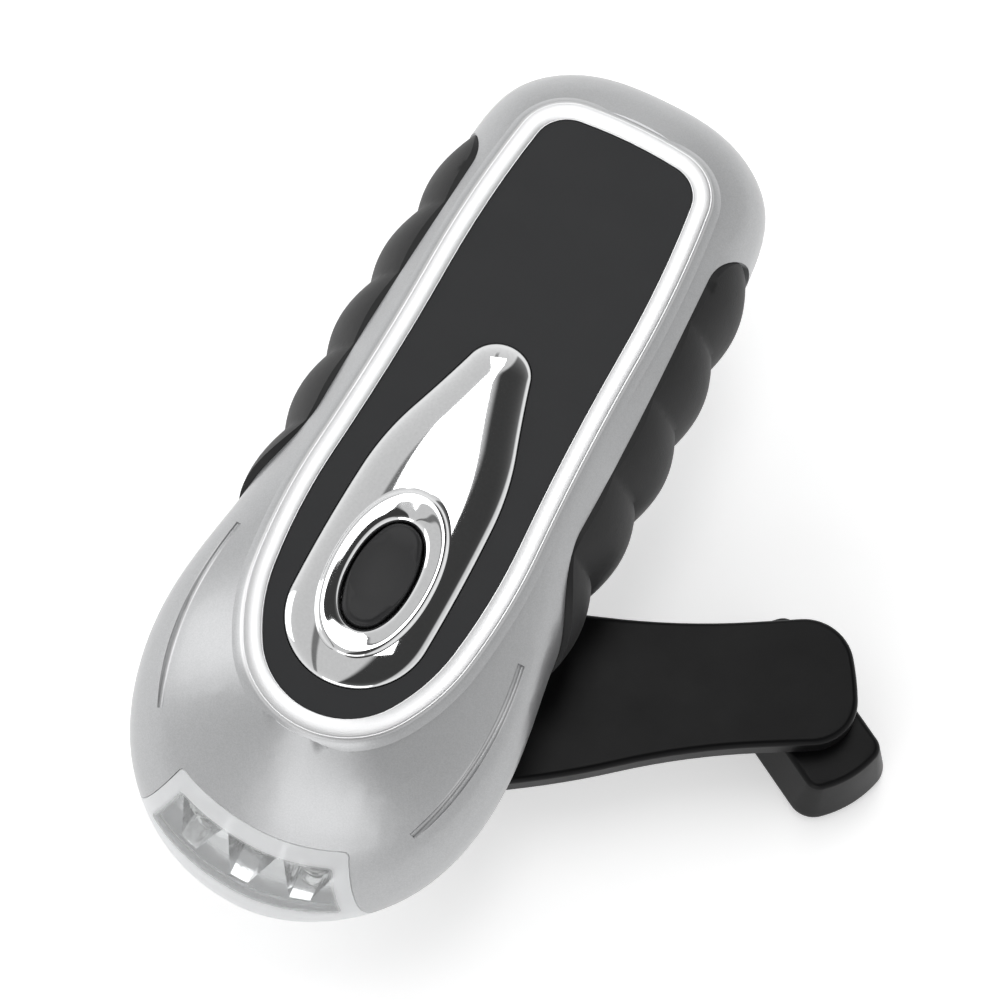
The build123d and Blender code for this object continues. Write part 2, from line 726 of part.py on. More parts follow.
def make_crank_gear(y):
    module, teeth, _ = PAIR_1
    bore = rod(0, 0, 0, HEIGHT, SHAFT_R + PRESS)
    wheel = gear(module, teeth, *GEAR_1_Z, 90, SHAFT_R + PRESS)
    hub = rod(0, 0, GEAR_1_Z[1] - 0.8, GEAR_1_Z[1] + 2, SHAFT_R + 1.5) - bore
    web = rod(0, 0, GEAR_1_Z[1] - 0.8, HEIGHT, 0.8 * module * teeth / 2)
    web -= rod(0, 0, 0, HEIGHT, SHAFT_R + 2.2)
    wheel = wheel - web + hub
    return Pos(0, y, 0) * wheel


def arm_frame():
    """Place of the crank arm: its own Y runs from the pivot to the knob, swung out."""
    return Pos(0, CRANK_Y, 0) * Rot(0, 0, CRANK_TURN - 90)


def make_arm():
    low = -ARM_DROP - ARM_THICK
    side = [
        (0, -HUB_HALF),
        (HUB_HALF, 0),
        (HUB_HALF - 0.1, 12),
        (HUB_HALF - 0.6, 22.5),
        (ARM_HALF + 1.6, 34),
        (ARM_HALF, 53),
        (ARM_HALF + 0.1, ARM_LONG - 6.6),
        (2.9, ARM_LONG - 0.2),
    ]
    arm = extrude(Pos(0, 0, low) * chain(side), ARM_THICK)
    arm = fillet(arm.faces().sort_by(Axis.Z)[-1].edges(), 0.8)
    arm = chamfer(arm.faces().sort_by(Axis.Z)[0].edges(), 0.5)
    arm -= Pos(0, 0, low + ARM_THICK / 2 + 0.6) * Box(SQUARE + 2 * GAP, SQUARE + 2 * GAP, ARM_THICK)
    arm -= rod(0, 0, low - 1, 0, 1.6)
    arm -= rod(0, 0, low - 1, low + 1.2, 3.2)
    post_low = low - WASHER_THICK - KNOB_HIGH + KNOB_SUNK - END_PLAY
    arm += rod(0, KNOB_REACH, post_low, low, KNOB_PIN_R)
    arm -= rod(0, KNOB_REACH, low - WASHER_THICK - KNOB_HIGH, low - 2, 0.9)
    return arm_frame() * arm


def make_crank_shaft():
    low = -ARM_DROP - ARM_THICK + 0.6
    shaft = rod(0, 0, -ARM_DROP, PLATE_Z[1] + 0.4, SHAFT_R)
    square = Pos(0, 0, (low + 1.3 - ARM_DROP) / 2) * Box(SQUARE, SQUARE, -ARM_DROP - low - 1.3 + 0.2)
    shaft += square
    shaft -= rod(0, 0, low - 1, low + 9.5, 1.25)
    return arm_frame() * shaft


def pan_screw(head_r, head_high, shank_r, shank_long, z):
    """Screw that points up from a cross-slotted head whose underside is at z."""
    screw = rod(0, 0, z - head_high, z, head_r) + rod(0, 0, z, z + shank_long, shank_r)
    wide, deep = SCREW_DRIVE
    slot = Box(1.1 * head_r, wide, deep) + Box(wide, 1.1 * head_r, deep)
    return screw - Pos(0, 0, z - head_high + 0.3) * slot


def make_knob():
    """Grip block that turns on the arm's post, hung a little off its own middle."""
    top = -ARM_DROP - ARM_THICK - WASHER_THICK - SEAT
    low = top - KNOB_HIGH
    half = KNOB_LONG / 2
    bow = KNOB_BOW - sqrt(KNOB_BOW**2 - KNOB_HALF**2)
    right = ThreePointArc((half - bow, -KNOB_HALF), (half, 0), (half - bow, KNOB_HALF))
    left = mirror(right, Plane.YZ)
    front = Line((bow - half, -KNOB_HALF), (half - bow, -KNOB_HALF))
    back = Line((bow - half, KNOB_HALF), (half - bow, KNOB_HALF))
    face = make_face(right.edges() + left.edges() + front.edges() + back.edges())
    face = Pos(KNOB_AHEAD, KNOB_ASIDE, top) * fillet(face.vertices(), KNOB_CORNER)
    knob = extrude(face, -KNOB_HIGH, taper=-KNOB_FLARE)
    knob = fillet(knob.faces().sort_by(Axis.Z)[0].edges(), KNOB_ROUND)
    knob = fillet(knob.faces().sort_by(Axis.Z)[-1].edges(), KNOB_EDGE)
    knob -= rod(0, 0, low - 1, top + 1, KNOB_PIN_R + RUNNING)
    knob -= rod(0, 0, low - 1, low + KNOB_SUNK, KNOB_PIN_R + 1.3)
    return knob_frame() * knob


def knob_frame():
    turn = radians(CRANK_TURN)
    x = KNOB_REACH * cos(turn)
    y = CRANK_Y + KNOB_REACH * sin(turn)
    return Pos(x, y, 0) * Rot(0, 0, KNOB_TURN)


def make_crank():
    low = -ARM_DROP - ARM_THICK
    knob_low = low - WASHER_THICK - KNOB_HIGH
    washer = rod(0, 0, low - WASHER_THICK, low, WASHER_R) - rod(0, 0, -HEIGHT, 0, KNOB_PIN_R + GAP)
    knob_end = arm_frame() * Pos(0, KNOB_REACH, 0)
    knob_screw = knob_end * pan_screw(3.3, 1.0, 0.85, 5, knob_low + KNOB_SUNK - END_PLAY)
    return {
        "crank_arm": make_arm(),
        "crank_shaft": make_crank_shaft(),
        "crank_gear": make_crank_gear(CRANK_Y),
        "crank_screw": arm_frame() * pan_screw(2.8, 1.1, 1.2, 8, low + 1.2),
        "knob_washer": knob_end * washer,
        "knob_screw": knob_screw,
        "knob": make_knob(),
    }


def make_bush():
    bush = rod(0, CRANK_Y, 0, FLOOR + 1.2, BUSH_R - SEAT)
    bush += rod(0, CRANK_Y, -BUSH_FLANGE, 0, BUSH_FLANGE_R)
    return bush - rod(0, CRANK_Y, -2, HEIGHT, SHAFT_R + RUNNING)


def make_axles():
    _, second_y, third_y, _ = axle_places()
    return {
        "axle_second": rod(0, second_y, FLOOR / 2, PLATE_Z[1], AXLE_R),
        "axle_third": rod(0, third_y, FLOOR / 2, PLATE_Z[1], AXLE_R),
    }


def make_yoke():
    """Laminated core: two arms with hollowed poles beside the magnet, joined behind it."""
    rotor_y = axle_places()[-1]
    half = MAGNET_R + POLE_GAP + YOKE_THICK
    inner = COIL_LONG / 2 + GAP
    core = block(-half, half, rotor_y - 5, YOKE_BACK, *YOKE_Z)
    core -= block(-inner, inner, -FAR, YOKE_BACK - YOKE_THICK, 0, HEIGHT)
    core -= rod(0, rotor_y, 0, HEIGHT, MAGNET_R + POLE_GAP)
    return core


def make_coil():
    middle = (YOKE_Z[0] + YOKE_Z[1]) / 2
    y = YOKE_BACK - YOKE_THICK / 2
    turned = Pos(0, y, middle) * Rot(0, 90, 0)
    window = Box(COIL_LONG + 4, YOKE_THICK + GAP, YOKE_Z[1] - YOKE_Z[0] + GAP)
    bobbin = turned * Cylinder(3.1, COIL_LONG)
    for end in (-1, 1):
        bobbin += Pos(end * (COIL_LONG / 2 - 0.4), y, middle) * Rot(0, 90, 0) * Cylinder(COIL_R, 0.8)
    bobbin -= Pos(0, y, middle) * window
    coil = turned * (Cylinder(COIL_R - 0.1, COIL_LONG - 1.8) - Cylinder(3.1 + SEAT, COIL_LONG))
    return bobbin, coil


def make_battery():
    cells = []
    for k in range(CELLS):
        y = BATTERY_FRONT + (k + 0.5) * CELL_LONG
        cell = Pos(0, y, BATTERY_Z) * Rot(90, 0, 0) * Cylinder(CELL_R, CELL_LONG - GAP)
        cells.append(chamfer(cell.edges(), 0.5))
    return Compound(children=cells)


def make_boards():
    board = block(-BOARD_HALF, BOARD_HALF, BOARD_FRONT, BOARD_REAR, *BOARD_Z)
    board = fillet(board.edges().filter_by(Axis.Z), 1.5)
    spots = [(x, y) for x in (-8.0, 8.0) for y in (CRANK_Y, BOARD_REAR - 3)]
    posts = [rod(x, y, PLATE_Z[1], BOARD_Z[0], 1.6) for x, y in spots]
    diodes = []
    for k in range(4):
        y = BOARD_REAR - 3.5 - 3.2 * k
        body = Pos(-8.0 if k % 2 else -3.5, y, BOARD_Z[1] + 1.05) * Rot(0, 90, 0) * Cylinder(1.0, 3.6)
        diodes.append(body)
    capacitor = rod(7.0, BOARD_REAR - 7, BOARD_Z[1], BOARD_Z[1] + 4.6, 2.5)
    half = 1.5 * LAMP_PITCH
    back = LED_BOARD_Y + LED_BOARD_THICK
    led_board = block(-half, half, LED_BOARD_Y, back, REFLECTOR_LOW, REFLECTOR_HIGH - 1)
    return {
        "main_board": board,
        "board_posts": Compound(children=posts),
        "rectifier_diodes": Compound(children=diodes),
        "capacitor": capacitor,
        "led_board": led_board,
    }


def make_switch():
    """Push switch on the board, under the button, with its plunger."""
    under = deck_under_button() - GAP - BUTTON_FLANGE
    top = under - 1.9
    body = block(-3.6, 3.6, RING_Y - 3.6, RING_Y + 3.6, BOARD_Z[1], top)
    body = chamfer(body.faces().sort_by(Axis.Z)[-1].edges(), 0.4)
    body -= rod(0, RING_Y, BOARD_Z[1] + 1.0, HEIGHT, 1.6)
    plunger = rod(0, RING_Y, BOARD_Z[1] + 1.0 + BUTTON_TRAVEL + 0.2, under, 1.5)
    return body, plunger


def make_screws():
    case_screw = pan_screw(SCREW_HEAD_R, SCREW_HEAD - END_PLAY, SCREW_R, SCREW_LONG, SCREW_HEAD)
    top = PLATE_Z[1]
    plate_screw = rod(0, 0, top, top + 0.9, 1.9) + rod(0, 0, top - 5, top, PLATE_SCREW_R)
    case = [Pos(x, y, 0) * case_screw for x, y in screw_places()]
    plate = [Pos(x, y, 0) * plate_screw for x, y in pillar_places()]
    return {"case_screws": Compound(children=case), "plate_screws": Compound(children=plate)}


def make_all():
    room = cavity()
    _, second_y, third_y, rotor_y = axle_places()
    parts = {}
    parts["top_shell"] = make_top_shell(room)
    parts["bottom_shell"] = make_bottom_shell(room)
    parts["grip_right"], parts["grip_left"] = make_grips()
    parts["top_panel"] = make_panel()
    parts["bezel"] = make_bezel()
    parts["button"] = make_button()
    parts["switch_body"], parts["switch_plunger"] = make_switch()
    parts["front_lens"] = make_lens()
    parts["reflector"] = make_reflector()
    for name, x in lamp_places():
        parts["led_" + name] = make_led(x)
    parts.update(make_crank())
    parts["crank_bush"] = make_bush()
    parts["second_gear"] = make_compound(PAIR_2, PAIR_1, GEAR_2_Z, GEAR_1_Z, second_y, AXLE_R + RUNNING)
    parts["third_gear"] = make_compound(PAIR_3, PAIR_2, GEAR_3_Z, GEAR_2_Z, third_y, AXLE_R + RUNNING)
    parts.update(make_rotor(rotor_y))
    parts.update(make_axles())
    parts["gear_plate"] = make_gear_plate()
    parts["stator_core"] = make_yoke()
    parts["coil_bobbin"], parts["coil"] = make_coil()
    parts["battery_cells"] = make_battery()
    parts.update(make_boards())
    parts.update(make_screws())
    return parts


os.makedirs("parts", exist_ok=True)
for name, shape in make_all().items():
    export_step(Pos(0, -FOOT_Y, HEEL_DROP) * shape, f"parts/{name}.step")
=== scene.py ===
import bmesh
import bpy
import numpy as np
from bpy.props import FloatProperty, FloatVectorProperty, PointerProperty
from mathutils import Matrix, Vector


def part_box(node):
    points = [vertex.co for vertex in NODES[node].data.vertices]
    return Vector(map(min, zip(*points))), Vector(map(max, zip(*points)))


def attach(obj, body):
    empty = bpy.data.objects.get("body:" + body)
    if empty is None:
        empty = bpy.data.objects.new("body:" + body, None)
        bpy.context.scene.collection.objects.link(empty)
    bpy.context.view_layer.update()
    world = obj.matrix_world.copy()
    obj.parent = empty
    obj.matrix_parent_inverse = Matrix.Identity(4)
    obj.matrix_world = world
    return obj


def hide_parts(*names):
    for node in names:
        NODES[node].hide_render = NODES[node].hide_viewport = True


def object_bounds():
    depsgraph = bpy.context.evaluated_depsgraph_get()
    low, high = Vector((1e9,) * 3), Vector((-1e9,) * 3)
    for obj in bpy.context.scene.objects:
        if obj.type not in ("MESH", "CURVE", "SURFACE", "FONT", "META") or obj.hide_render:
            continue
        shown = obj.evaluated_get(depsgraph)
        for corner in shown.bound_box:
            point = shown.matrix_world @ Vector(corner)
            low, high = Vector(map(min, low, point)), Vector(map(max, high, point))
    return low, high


bl_info = {
    "name": "Hand crank flashlight",
    "version": (1, 0, 0),
    "blender": (4, 5, 0),
    "location": "3D View > Sidebar > Flashlight",
    "description": "Finishes and fine parts of a hand crank flashlight, set on its CAD frame",
    "category": "Add Mesh",
}

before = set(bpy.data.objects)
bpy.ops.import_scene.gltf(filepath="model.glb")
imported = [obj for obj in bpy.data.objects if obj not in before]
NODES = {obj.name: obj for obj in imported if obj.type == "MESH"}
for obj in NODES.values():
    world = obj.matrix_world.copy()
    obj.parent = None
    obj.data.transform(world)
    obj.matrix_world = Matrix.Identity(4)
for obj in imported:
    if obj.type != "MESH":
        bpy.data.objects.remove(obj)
CAD_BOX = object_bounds()

MM = 0.001
# The casing is laid out from the lamp's foremost point and its flat underside. The frame's
# origin is under the heel instead.
FOOT_Y = 109.6
HEEL_DROP = 4.2
HEIGHT = 26.0
PARTING_Z = 4.0
CROWN_START = 60.3
CROWN_RUN = 40.0
CROWN_DROP = 1.7
PANEL_SUNK = 0.15
RING_Y = 39.4
LAMP_PITCH = 7.6
REFLECTOR_BACK = 11.0
LENS_TOP = 14.4
LENS_TOP_HALF = 11.7
LENS_FLARE = 0.45
# Three points of the arc that a cheek's groove makes, seen from above
CHEEK_POINTS = ((17.85, 14.4), (20.7, 27.2), (19.95, 39.0))
RING_HALVES = (6.75, 11.6)
WELL_HALVES = (4.1, 7.6)
RING_FULLNESS = 2.12
RING_POINTS = 720
RIDGE_FRONT = 20.2
RIDGE_REAR = 107.3
RIDGE_RUN_OUT = 1.6
RIDGE_FALL = 1.15
# The casing's nose leans back by this share of its height, and bows on an arc
NOSE_LEAN = 0.75
NOSE_BOW = 24.0
NOSE_SET = 0.4
CELL_HALF = 3.8
CELL_REACH = 1.2
# Colour of the painted highlight laid on the ridge round the panel and in the cheeks' grooves
PAINTED_HIGHLIGHT = (0.9, 0.9, 0.905)

# Lights: name, place and size in metres, share of the key's power
LIGHTS = (
    ("key", (-0.16, 0.36, 1.11), (0.36, 0.95), 1.0),
    ("side", (-1.05, -0.25, 0.55), (0.7, 0.9), 0.9),
    ("front", (0.25, -1.15, 0.55), (1.0, 0.5), 0.9),
)
LIT_SPOT = (0.0, -0.05, 0.01)
CAMERA_PLACE = (0.08084, -0.25057, 0.53451)
CAMERA_BACK = (0.1331, -0.3593, 0.9237)
CAMERA_TURN = np.radians(20.33)
CAMERA_ROLL = np.radians(7.60)
CAMERA_LENS = 158.28

# Metals: finish, colour, roughness, stretch of the hairlines on each axis, their width and
# depth in mm, and the nodes
STEEL = (0.62, 0.61, 0.6)
METALS = (
    ("shaft_steel", STEEL, 0.22, (1, 1, 0.05), 0.05, 0.0,
     ("crank_shaft", "rotor_shaft", "axle_second", "axle_third")),
    ("screw_steel", (0.66, 0.66, 0.67), 0.3, (1, 1, 1), 0.05, 0.002,
     ("case_screws", "plate_screws", "crank_screw", "knob_screw")),
    ("washer_steel", (0.1, 0.1, 0.105), 0.4, (1, 1, 1), 0.05, 0.0, ("knob_washer",)),
    ("bush_brass", (0.78, 0.56, 0.28), 0.25, (1, 1, 0.1), 0.05, 0.0, ("crank_bush",)),
    ("core_steel", (0.42, 0.42, 0.43), 0.45, (0.05, 0.05, 4), 0.35, 0.02, ("stator_core",)),
)

# Plastics inside: finish, colour, roughness, grain and its depth in mm, spread of the
# colour, share of metal, and the nodes
WORKS = (
    ("gear_nylon", (0.72, 0.69, 0.6), 0.42, 0.3, 0.006, 0.05, 0.0,
     ("crank_gear", "second_gear", "third_gear", "rotor_pinion")),
    ("frame_plastic", (0.05, 0.05, 0.055), 0.5, 0.2, 0.01, 0.12, 0.0,
     ("gear_plate", "board_posts")),
    ("hub_plastic", (0.08, 0.08, 0.085), 0.5, 0.2, 0.01, 0.12, 0.0, ("rotor_hub",)),
    ("magnet_ferrite", (0.06, 0.057, 0.055), 0.6, 0.1, 0.02, 0.12, 0.2, ("rotor_magnet",)),
    ("bobbin_plastic", (0.6, 0.58, 0.5), 0.45, 0.2, 0.01, 0.05, 0.0, ("coil_bobbin",)),
    ("switch_plastic", (0.03, 0.03, 0.032), 0.4, 0.2, 0.01, 0.12, 0.0, ("switch_body",)),
    ("plunger_plastic", (0.5, 0.05, 0.04), 0.4, 0.2, 0.01, 0.12, 0.0, ("switch_plunger",)),
)


# ---- shader expressions ----
class Value:
    """A shader socket that can be reckoned with: an expression on it adds its Math nodes."""

    def __init__(self, graph, socket):
        self.graph = graph
        self.socket = socket

    def math(self, operation, *values):
        return self.graph.node("ShaderNodeMath", {"operation": operation}, *values)

    def __add__(self, other):
        return self.math("ADD", self, other)

    def __sub__(self, other):
        return self.math("SUBTRACT", self, other)

    def __rsub__(self, other):
        return self.math("SUBTRACT", other, self)

    def __mul__(self, other):
        return self.math("MULTIPLY", self, other)

    def __truediv__(self, other):
        return self.math("DIVIDE", self, other)

    def __abs__(self):
        return self.math("ABSOLUTE", self)

    __radd__ = __add__
    __rmul__ = __mul__

    def wave(self, pitch):
        """A saw that rises from 0 to 1 over each pitch."""
        turns = self / pitch
        return self.math("FRACT", turns)

    def step(self, low, high, start=0.0, end=1.0):
        """Smooth change from start to end while the value goes from low to high."""
        settings = {"interpolation_type": "SMOOTHSTEP"}
        return self.graph.node("ShaderNodeMapRange", settings, self, low, high, start, end)


class Graph:
    """The node tree of a material or the world, filled in by expressions."""

    def __init__(self, owner):
        owner.use_nodes = True
        self.tree = owner.node_tree
        self.tree.nodes.clear()

    def node(self, kind, settings=None, *values, output=0, **named):
        """Adds one node: settings first, then its sockets in order or by name."""
        new = self.tree.nodes.new(kind)
        for name, setting in (settings or {}).items():
            setattr(new, name, setting)
        places = list(zip(new.inputs, values))
        places += [(new.inputs[name.replace("_", " ")], item) for name, item in named.items()]
        for place, item in places:
            if isinstance(item, Value):
                self.tree.links.new(item.socket, place)
            elif item is not None:
                place.default_value = item
        return new if output is None else Value(self, new.outputs[output])

    def place(self):
        """Object coordinates, in metres."""
        return self.node("ShaderNodeTexCoord", output="Object")

    def along(self, axis, vector=None):
        """One coordinate of a place, in metres."""
        return self.node("ShaderNodeSeparateXYZ", None, vector or self.place(), output=axis)

    def noise(self, size, detail=2.0, vector=None):
        """Soft noise from 0 to 1 whose blotches are about size metres across."""
        return self.node(
            "ShaderNodeTexNoise", None, output="Fac",
            Vector=vector or self.place(), Scale=1 / size, Detail=detail,
        )

    def grains(self, size):
        """A number from 0 to 1 for each grain of about size metres."""
        colour = self.node(
            "ShaderNodeTexVoronoi", None, output="Color", Vector=self.place(), Scale=1 / size
        )
        return self.node("ShaderNodeSeparateXYZ", None, colour, output="X")

    def stretched(self, x, y, z):
        """Object coordinates with each axis multiplied, so that a pattern runs along one."""
        return self.node(
            "ShaderNodeVectorMath", {"operation": "MULTIPLY"}, self.place(), (x, y, z)
        )

    def blend(self, factor, first, second):
        """Colour between two colours."""
        settings = {"data_type": "RGBA"}
        new = self.node("ShaderNodeMix", settings, factor, output=2)
        mix = new.socket.node
        for place, item in ((mix.inputs[6], first), (mix.inputs[7], second)):
            if isinstance(item, Value):
                self.tree.links.new(item.socket, place)
            else:
                place.default_value = (*item, 1.0)
        return new

    def bump(self, height, depth):
        """Normal of a surface raised by depth metres where height is 1."""
        return self.node("ShaderNodeBump", None, Height=height, Distance=depth, Strength=1.0)


class Finish(Graph):
    """A material with one Principled shader, whose varying sockets are fed by expressions."""

    def __init__(self, name, **fixed):
        self.material = bpy.data.materials.new(name)
        super().__init__(self.material)
        shader = self.node("ShaderNodeBsdfPrincipled", None, **fixed)
        self.shader = shader.socket.node
        self.output = self.node("ShaderNodeOutputMaterial", None, shader, output=None)

    def feed(self, **sockets):
        for name, value in sockets.items():
            self.tree.links.new(value.socket, self.shader.inputs[name.replace("_", " ")])
        return self

    def overlay(self, factor, **fixed):
        """Lays a second shader over the first, where factor is 1."""
        first = Value(self, self.shader.outputs[0])
        second = self.node("ShaderNodeBsdfPrincipled", None, **fixed)
        mixed = self.node("ShaderNodeMixShader", None, factor, first, second)
        self.tree.links.new(mixed.socket, self.output.inputs["Surface"])
        return self


def rgba(colour, share=1.0):
    return (*(share * c for c in colour), 1.0)


def tone(colour, share):
    return tuple(min(1.0, share * c) for c in colour)


# ---- finishes ----
def cheek_highlight(finish):
    """Mask of the painted highlight: 1 along the two bowed grooves on the cheeks, whose lit
    edges are painted light, fading out at their ends. Seen from above each is a circle's arc:
    the circle through three points solves 2 c.p + k = p.p."""
    points = np.array(CHEEK_POINTS)
    rows = np.column_stack([2 * points, np.ones(3)])
    x, y, rest = np.linalg.solve(rows, (points**2).sum(axis=1))
    bow = np.sqrt(rest + x * x + y * y)
    aside = abs(finish.along("X")) - float(x) * MM
    along = finish.along("Y") + float(FOOT_Y - y) * MM
    square = aside * aside + along * along
    away = abs(square.math("SQRT", square) - float(bow) * MM)
    place = finish.along("Y") + FOOT_Y * MM
    fade = place.step(14 * MM, 22 * MM) * (1 - place.step(31 * MM, 39 * MM))
    return fade * (1 - away.step(0.3 * MM, 0.6 * MM))


def silver_paint(look):
    """Satin silver lacquer: fine flake in a grey coat, a faint orange peel, the hairline where
    the two mouldings meet, and a painted highlight, colour lightened towards near white in place
    of reflected light, in the cheeks' grooves and on the ridge round the panel, which stands at
    the height of the crown."""
    finish = Finish("silver_paint", Metallic=look.metallic, Coat_Weight=0.25, Coat_Roughness=0.2)
    flake = finish.grains(0.12 * MM)
    cloud = finish.noise(9 * MM)
    colour = finish.blend(flake, tone(look.colour, 0.93), tone(look.colour, 1.07))
    height = finish.along("Z") - (PARTING_Z + HEEL_DROP) * MM
    seam = abs(height).step(0.05 * MM, 0.14 * MM)
    colour = finish.blend(seam, tone(look.colour, 0.15), colour)
    # Painted highlight: where the surface stands at the crown's height (the ridge's flat top)
    # and along the cheeks' grooves, the colour is lightened towards near white in place of the
    # reflected soft light
    ahead = (CROWN_START - FOOT_Y) * MM - finish.along("Y")
    ahead = ahead.math("MAXIMUM", ahead, 0.0)
    crown = (HEIGHT + HEEL_DROP) * MM - ahead * ahead * (CROWN_DROP / CROWN_RUN**2 / MM)
    top = (finish.along("Z") - crown).step(-0.3 * MM, -0.12 * MM)
    painted_highlight_mask = 1 - (1 - top) * (1 - cheek_highlight(finish))
    colour = finish.blend(painted_highlight_mask * look.painted_highlight, colour, PAINTED_HIGHLIGHT)
    rough = look.roughness + 0.08 * (cloud - 0.5) + 0.05 * (flake - 0.5)
    peel = finish.noise(0.9 * MM) * 0.012 + seam * 0.6
    return finish.feed(Base_Color=colour, Roughness=rough, Normal=finish.bump(peel, 0.06 * MM))


def moulded(name, colour, roughness, grain, depth, spread=0.12, **fixed):
    """Moulded plastic or rubber: an eroded grain of the given size in metres, blotches in
    the gloss and a little uneven colour."""
    finish = Finish(name, **fixed)
    cloud = finish.noise(6 * MM)
    fine = finish.noise(grain, 3.0)
    mixed = fine * 0.5 + cloud * 0.5
    shade = finish.blend(mixed, tone(colour, 1 - spread), tone(colour, 1 + spread))
    rough = roughness + 0.12 * (cloud - 0.5) + 0.1 * (fine - 0.5)
    return finish.feed(Base_Color=shade, Roughness=rough, Normal=finish.bump(fine, depth))


def metal(name, colour, roughness, brush=(1, 1, 1), grain=0.05 * MM, depth=0.0):
    """Bare or plated metal, with hairlines drawn out along the axis whose factor is small."""
    finish = Finish(name, Metallic=1.0)
    lines = finish.noise(grain, 2.0, finish.stretched(*brush))
    smudge = finish.noise(4 * MM)
    shade = finish.blend(lines, tone(colour, 0.92), tone(colour, 1.06))
    rough = roughness * (0.75 + 0.5 * lines) + 0.05 * smudge * roughness
    finish.feed(Base_Color=shade, Roughness=rough)
    if depth:
        finish.feed(Normal=finish.bump(lines, depth))
    return finish


def clear_lens(look):
    """Clear polycarbonate, frosted in a band under its upper rim, down its sides and along
    its lower lip."""
    finish = Finish(
        "lens_clear", Base_Color=rgba(look.colour), IOR=1.49, Transmission_Weight=1.0,
    )
    height = finish.along("Z") - HEEL_DROP * MM
    upper = height.step(12.2 * MM, 12.8 * MM)
    lower = 1 - height.step(5.4 * MM, 6.8 * MM)
    flank = LENS_TOP_HALF * MM + LENS_FLARE * (LENS_TOP * MM - height)
    edge = abs(finish.along("X")) - flank
    sides = edge.step(-2.6 * MM, -1.4 * MM)
    frost = 1 - (1 - upper) * (1 - sides) * (1 - lower)
    speck = finish.noise(0.3 * MM)
    wave = finish.noise(2.2 * MM)
    finish.feed(
        Roughness=0.02 + look.frost * frost * (0.7 + 0.6 * speck),
        Normal=finish.bump(wave, 0.01 * MM),
    )
    return finish.overlay(
        (0.2 + 0.8 * frost) * look.haze, Base_Color=(0.9, 0.91, 0.92, 1), Roughness=0.3,
        Transmission_Weight=0.15, IOR=1.49,
    )


def led_resin():
    finish = Finish(
        "led_resin", Base_Color=(0.98, 0.985, 0.97, 1), IOR=1.53, Transmission_Weight=1.0
    )
    return finish.feed(Roughness=0.02 + 0.05 * finish.noise(1 * MM))


def mirror_facets():
    """Vacuum-metallised reflector: bright, with a faint haze."""
    finish = Finish("reflector_mirror", Metallic=1.0)
    haze = finish.noise(1.5 * MM)
    shade = finish.blend(haze, (0.8, 0.8, 0.81), (0.97, 0.97, 0.97))
    return finish.feed(
        Base_Color=shade, Roughness=0.03 + 0.06 * haze, Normal=finish.bump(haze, 0.03 * MM)
    )


def coil_copper():
    """Enamelled wire laid in close turns round the core, each turn with painted shade towards
    its sides.
    """
    finish = Finish("coil_copper", Metallic=0.9, Coat_Weight=0.6, Coat_Roughness=0.15)
    wave = abs(finish.along("X").wave(0.22 * MM) - 0.5) * 2.0
    # Painted shade: each turn's colour darkens from its middle to its sides, where the round
    # wire turns away from the light and meets the next turn
    shade = finish.blend(wave, (0.52, 0.17, 0.06), (0.25, 0.07, 0.03))
    return finish.feed(
        Base_Color=shade, Roughness=0.25 + 0.2 * wave,
        Normal=finish.bump(1 - wave * wave, 0.05 * MM),
    )


def circuit_board():
    """Glass-resin laminate under green lacquer, with copper runs that stand out a little."""
    finish = Finish("board_resin", Coat_Weight=0.5, Coat_Roughness=0.2)
    place = finish.place()
    cells = finish.node(
        "ShaderNodeTexVoronoi", {"distance": "MANHATTAN", "feature": "DISTANCE_TO_EDGE"},
        Vector=place, Scale=1 / (3.2 * MM),
    )
    run = cells.step(0.04, 0.07)
    weave = finish.noise(0.25 * MM)
    shade = finish.blend(run, (0.05, 0.2, 0.07), (0.015, 0.09, 0.035))
    return finish.feed(
        Base_Color=shade, Roughness=0.35 + 0.15 * weave, Normal=finish.bump(1 - run, 0.03 * MM)
    )


def banded(name, body, band, low, high, axis, roughness):
    """A sleeve with one lighter band between two places along an axis, in metres."""
    finish = Finish(name, Coat_Weight=0.3, Coat_Roughness=0.2)
    where = finish.along(axis)
    inside = where.step(low, low + 0.1 * MM) * (1 - where.step(high - 0.1 * MM, high))
    wrinkle = finish.noise(1.2 * MM)
    shade = finish.blend(inside, finish.blend(wrinkle, tone(body, 0.85), tone(body, 1.1)), band)
    return finish.feed(
        Base_Color=shade, Roughness=roughness + 0.1 * (wrinkle - 0.5),
        Normal=finish.bump(wrinkle, 0.03 * MM),
    )


# ---- surfaces ----
def crown_height(y):
    """Height of the casing's crown: level, then one arc falling towards the lamp (mm)."""
    radius = (CROWN_RUN**2 + CROWN_DROP**2) / (2 * CROWN_DROP)
    ahead = np.maximum(0.0, CROWN_START - y)
    return HEIGHT - radius + np.sqrt(radius**2 - ahead**2)


